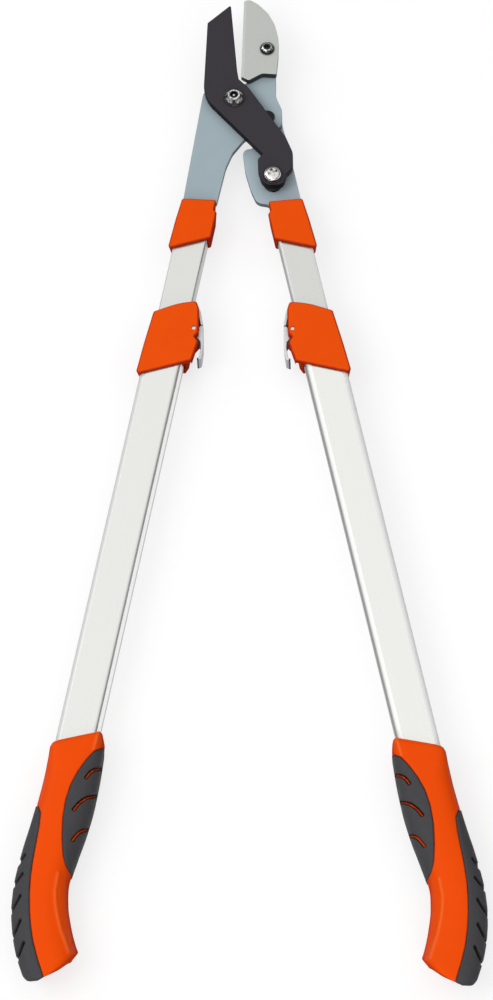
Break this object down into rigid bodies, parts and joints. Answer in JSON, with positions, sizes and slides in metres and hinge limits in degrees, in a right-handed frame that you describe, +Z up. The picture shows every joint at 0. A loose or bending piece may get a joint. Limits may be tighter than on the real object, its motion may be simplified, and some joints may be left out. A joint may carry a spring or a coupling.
{
  "type": "telescopic lopper",
  "caption": "Long handled pruning lopper with an anvil jaw, a lever head and telescopic tube handles with clamps and curved soft grips.",
  "frame": {"origin": "under the middle of the tool's bounding box, on the floor it lies on", "axes": "+Y along the tool from the grips to the jaw, +Z up out of the tool's front face, +X towards the blade's side"},
  "size_m": [0.2838, 0.705, 0.0307],
  "materials": {
    "plate": "satin blue-grey paint",
    "black_coating": "satin black coating",
    "blade_steel": "ground steel",
    "chrome": "bright plated steel",
    "black_steel": "blackened steel",
    "zinc": "zinc plated steel",
    "orange_plastic": "satin orange moulding",
    "orange_grip": "satin orange moulding",
    "aluminium": "satin anodised",
    "grey_nylon": "matt grey moulding",
    "dark_rubber": "matt soft plastic"
  },
  "bodies": {
    "left_arm": {"left_arm_plate": "plate", "blade": "blade_steel", "blade_screw": "black_steel", "blade_nut": "zinc", "main_pivot_bolt": "black_steel", "main_pivot_washer": "zinc", "main_pivot_nut": "zinc", "fulcrum_pin": "black_steel", "fulcrum_washer": "zinc", "left_head_sleeve": "orange_plastic", "left_tang_insert": "grey_nylon", "left_tang_pin_1": "zinc", "left_tang_pin_2": "zinc", "left_inner_tube": "aluminium", "left_tube_guide": "grey_nylon"},
    "anvil_lever": {"anvil_lever": "black_coating", "link_screw": "chrome", "link_head_washer": "black_steel", "link_spacer": "black_steel", "link_washer": "zinc", "link_nut": "zinc"},
    "right_arm": {"right_arm_plate": "plate", "right_head_sleeve": "orange_plastic", "right_tang_insert": "grey_nylon", "right_tang_pin_1": "zinc", "right_tang_pin_2": "zinc", "right_inner_tube": "aluminium", "right_tube_guide": "grey_nylon"},
    "left_handle": {"left_outer_tube": "aluminium", "left_clamp_collar": "orange_plastic", "left_lever_pin": "chrome", "left_clamp_shoe": "grey_nylon", "left_lever_spring": "chrome", "left_grip_shell": "orange_grip", "left_inner_pad": "dark_rubber", "left_back_pad": "dark_rubber"},
    "right_handle": {"right_outer_tube": "aluminium", "right_clamp_collar": "orange_plastic", "right_lever_pin": "chrome", "right_clamp_shoe": "grey_nylon", "right_lever_spring": "chrome", "right_grip_shell": "orange_grip", "right_inner_pad": "dark_rubber", "right_back_pad": "dark_rubber"},
    "left_clamp": {"left_clamp_lever": "chrome"},
    "right_clamp": {"right_clamp_lever": "chrome"}
  },
  "joints": [
    {"name": "arm_pivot", "type": "hinge", "parent": "left_arm", "child": "right_arm", "pos_m": [0.01202, 0.26464, 0.0152], "axis": [0, 0, 1], "range_deg": [-7.8, 49.4]},
    {"name": "lever_pivot", "type": "hinge", "parent": "left_arm", "child": "anvil_lever", "pos_m": [-0.00928, 0.27564, 0.0152], "axis": [0, 0, 1], "range_deg": [-6, 38]},
    {"name": "left_telescope", "type": "slide", "parent": "left_arm", "child": "left_handle", "axis": [-0.1874, -0.9823, 0], "range_m": [0, 0.3]},
    {"name": "right_telescope", "type": "slide", "parent": "right_arm", "child": "right_handle", "axis": [0.2011, -0.9796, 0], "range_m": [0, 0.3]},
    {"name": "left_clamp_pivot", "type": "hinge", "parent": "left_handle", "child": "left_clamp", "pos_m": [-0.03445, 0.10325, 0.0152], "axis": [0, 0, 1], "range_deg": [0, 35]},
    {"name": "right_clamp_pivot", "type": "hinge", "parent": "right_handle", "child": "right_clamp", "pos_m": [0.02764, 0.10175, 0.0152], "axis": [0, 0, -1], "range_deg": [0, 35]}
  ],
  "couplings": [
    {"joint": "lever_pivot", "follows": "arm_pivot", "ratio": 0.76923}
  ]
}
